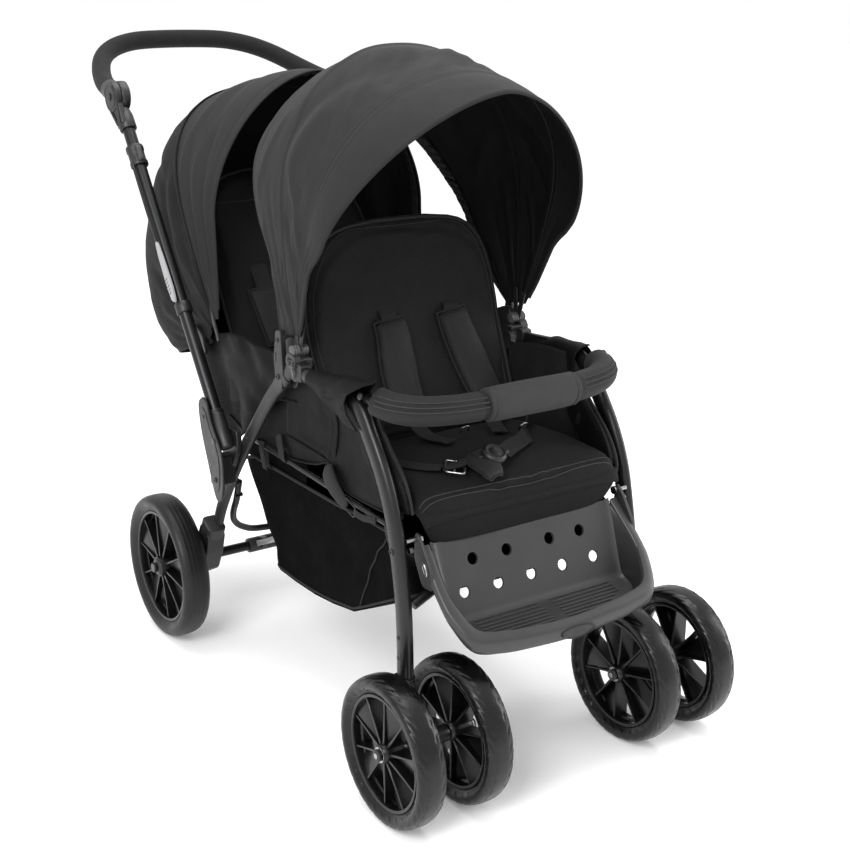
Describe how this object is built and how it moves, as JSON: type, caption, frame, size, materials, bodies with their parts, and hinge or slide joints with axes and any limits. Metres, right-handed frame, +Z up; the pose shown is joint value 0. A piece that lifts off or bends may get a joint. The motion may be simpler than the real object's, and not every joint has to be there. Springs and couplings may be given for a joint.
{
  "type": "double stroller",
  "caption": "Tandem double stroller: one seat behind the other, two canopies, folding tube frame, swivelling twin front wheels, basket, bumper bar and tilting handle",
  "frame": {"origin": "middle of the bounding box on the floor", "axes": "+Z up; the stroller faces -Y; +X is the seated child's left, and the object is symmetric about X = 0"},
  "size_m": [0.581, 1.2568, 0.9978],
  "materials": {
    "frame_metal": "satin dark metallic paint",
    "black_plastic": "satin moulded",
    "rim_plastic": "glossy black",
    "lever_plastic": "light grey satin",
    "tyre_rubber": "black rubber",
    "grip_foam": "fine-celled foam",
    "seat_fabric": "woven, padded",
    "canopy_fabric": "charcoal canopy cloth",
    "basket_mesh": "black mesh fabric"
  },
  "bodies": {
    "front_frame": {"front_leg_r": "frame_metal", "front_leg_l": "frame_metal", "front_cross_arch": "frame_metal", "hub_r": "black_plastic", "hub_l": "black_plastic", "side_rail_r": "frame_metal", "side_rail_l": "frame_metal", "footrest": "black_plastic", "front_seat_base": "seat_fabric", "rear_seat_base": "seat_fabric", "side_panel_r": "seat_fabric", "side_panel_l": "seat_fabric", "rear_side_panel_r": "seat_fabric", "rear_side_panel_l": "seat_fabric", "basket": "basket_mesh", "front_canopy_rear": "canopy_fabric"},
    "rear_frame": {"rear_leg_r": "frame_metal", "rear_leg_l": "frame_metal", "rear_axle": "frame_metal", "axle_bracket_r": "black_plastic", "axle_bracket_l": "black_plastic", "lower_bar": "frame_metal", "fold_bracket_r": "black_plastic", "fold_bracket_l": "black_plastic"},
    "push_frame": {"push_sleeve_r": "black_plastic", "push_sleeve_l": "black_plastic", "push_tube_r": "frame_metal", "push_tube_l": "frame_metal", "handle_socket_r": "black_plastic", "handle_socket_l": "black_plastic", "rear_canopy_back": "canopy_fabric"},
    "handle": {"handle_bar": "grip_foam"},
    "fold_release_r": {"fold_lever_r": "lever_plastic", "tube_collar_r": "black_plastic"},
    "fold_release_l": {"fold_lever_l": "lever_plastic", "tube_collar_l": "black_plastic"},
    "caster_r": {"caster_fork_r": "black_plastic"},
    "caster_l": {"caster_fork_l": "black_plastic"},
    "brake": {"brake_pedal": "lever_plastic"},
    "front_back": {"front_backrest": "seat_fabric"},
    "rear_back": {"rear_backrest": "seat_fabric"},
    "front_canopy_bow": {"front_canopy_mid": "canopy_fabric"},
    "front_visor": {"front_canopy_visor": "canopy_fabric"},
    "rear_canopy_bow": {"rear_canopy_front": "canopy_fabric"},
    "bumper": {"bumper_bar": "seat_fabric"},
    "wheel_front_outer_r": {"front_tyre_outer_r": "tyre_rubber", "front_rim_outer_r": "rim_plastic"},
    "wheel_front_inner_r": {"front_tyre_inner_r": "tyre_rubber", "front_rim_inner_r": "rim_plastic"},
    "wheel_rear_r": {"rear_tyre_r": "tyre_rubber", "rear_rim_r": "rim_plastic"},
    "wheel_front_outer_l": {"front_tyre_outer_l": "tyre_rubber", "front_rim_outer_l": "rim_plastic"},
    "wheel_front_inner_l": {"front_tyre_inner_l": "tyre_rubber", "front_rim_inner_l": "rim_plastic"},
    "wheel_rear_l": {"rear_tyre_l": "tyre_rubber", "rear_rim_l": "rim_plastic"}
  },
  "joints": [
    {"name": "rear_legs_swing", "type": "hinge", "parent": "front_frame", "child": "rear_frame", "pos_m": [0, -0.18815, 0.5532], "axis": [1, 0, 0], "range_deg": [-30, 0]},
    {"name": "frame_fold", "type": "hinge", "parent": "rear_frame", "child": "push_frame", "pos_m": [0, -0.00765, 0.392], "axis": [1, 0, 0], "range_deg": [0, 120], "deforming": ["rear_canopy_back", "rear_canopy_front", "rear_backrest"]},
    {"name": "handle_tilt", "type": "hinge", "parent": "push_frame", "child": "handle", "pos_m": [0, 0.34135, 0.897], "axis": [1, 0, 0], "range_deg": [-60, 45]},
    {"name": "fold_lever_r", "type": "slide", "parent": "push_frame", "child": "fold_release_r", "axis": [0, 0.5685, 0.8227], "range_m": [0, 0.02], "stiffness_N_per_m": 300, "springref_m": -0.005},
    {"name": "fold_lever_l", "type": "slide", "parent": "push_frame", "child": "fold_release_l", "axis": [0, 0.5685, 0.8227], "range_m": [0, 0.02], "stiffness_N_per_m": 300, "springref_m": -0.005},
    {"name": "caster_r", "type": "hinge", "parent": "front_frame", "child": "caster_r", "pos_m": [-0.203, -0.47165, 0.16], "axis": [0, 0, 1], "continuous": true},
    {"name": "spin_front_outer_r", "type": "hinge", "parent": "caster_r", "child": "wheel_front_outer_r", "pos_m": [-0.25625, -0.52495, 0.1037], "axis": [1, 0, 0], "continuous": true},
    {"name": "spin_front_inner_r", "type": "hinge", "parent": "caster_r", "child": "wheel_front_inner_r", "pos_m": [-0.14975, -0.52495, 0.1037], "axis": [1, 0, 0], "continuous": true},
    {"name": "spin_rear_r", "type": "hinge", "parent": "rear_frame", "child": "wheel_rear_r", "pos_m": [-0.2613, 0.17965, 0.1233], "axis": [1, 0, 0], "continuous": true},
    {"name": "caster_l", "type": "hinge", "parent": "front_frame", "child": "caster_l", "pos_m": [0.203, -0.47165, 0.16], "axis": [0, 0, 1], "continuous": true},
    {"name": "spin_front_outer_l", "type": "hinge", "parent": "caster_l", "child": "wheel_front_outer_l", "pos_m": [0.25625, -0.52495, 0.1037], "axis": [1, 0, 0], "continuous": true},
    {"name": "spin_front_inner_l", "type": "hinge", "parent": "caster_l", "child": "wheel_front_inner_l", "pos_m": [0.14975, -0.52495, 0.1037], "axis": [1, 0, 0], "continuous": true},
    {"name": "spin_rear_l", "type": "hinge", "parent": "rear_frame", "child": "wheel_rear_l", "pos_m": [0.2613, 0.17965, 0.1233], "axis": [1, 0, 0], "continuous": true},
    {"name": "brake_press", "type": "hinge", "parent": "rear_frame", "child": "brake", "pos_m": [0, 0.17965, 0.1233], "axis": [1, 0, 0], "range_deg": [0, 15]},
    {"name": "front_recline", "type": "hinge", "parent": "front_frame", "child": "front_back", "pos_m": [0, -0.23265, 0.425], "axis": [-1, 0, 0], "range_deg": [0, 25]},
    {"name": "rear_recline", "type": "hinge", "parent": "push_frame", "child": "rear_back", "pos_m": [0, 0.03235, 0.405], "axis": [-1, 0, 0], "range_deg": [0, 15]},
    {"name": "front_canopy_fold", "type": "hinge", "parent": "front_frame", "child": "front_canopy_bow", "pos_m": [0, -0.18815, 0.5532], "axis": [1, 0, 0], "range_deg": [-23, 0]},
    {"name": "front_visor_fold", "type": "hinge", "parent": "front_canopy_bow", "child": "front_visor", "pos_m": [0, -0.18815, 0.5532], "axis": [1, 0, 0], "range_deg": [-13, 0]},
    {"name": "rear_canopy_fold", "type": "hinge", "parent": "push_frame", "child": "rear_canopy_bow", "pos_m": [0, 0.07735, 0.53], "axis": [1, 0, 0], "range_deg": [-24, 0]},
    {"name": "bumper_release", "type": "slide", "parent": "front_frame", "child": "bumper", "axis": [0, -1, 0], "range_m": [0, 0.05]}
  ],
  "couplings": [
    {"joint": "rear_legs_swing", "follows": "frame_fold", "ratio": -0.25},
    {"joint": "fold_lever_l", "follows": "fold_lever_r", "ratio": 1}
  ]
}
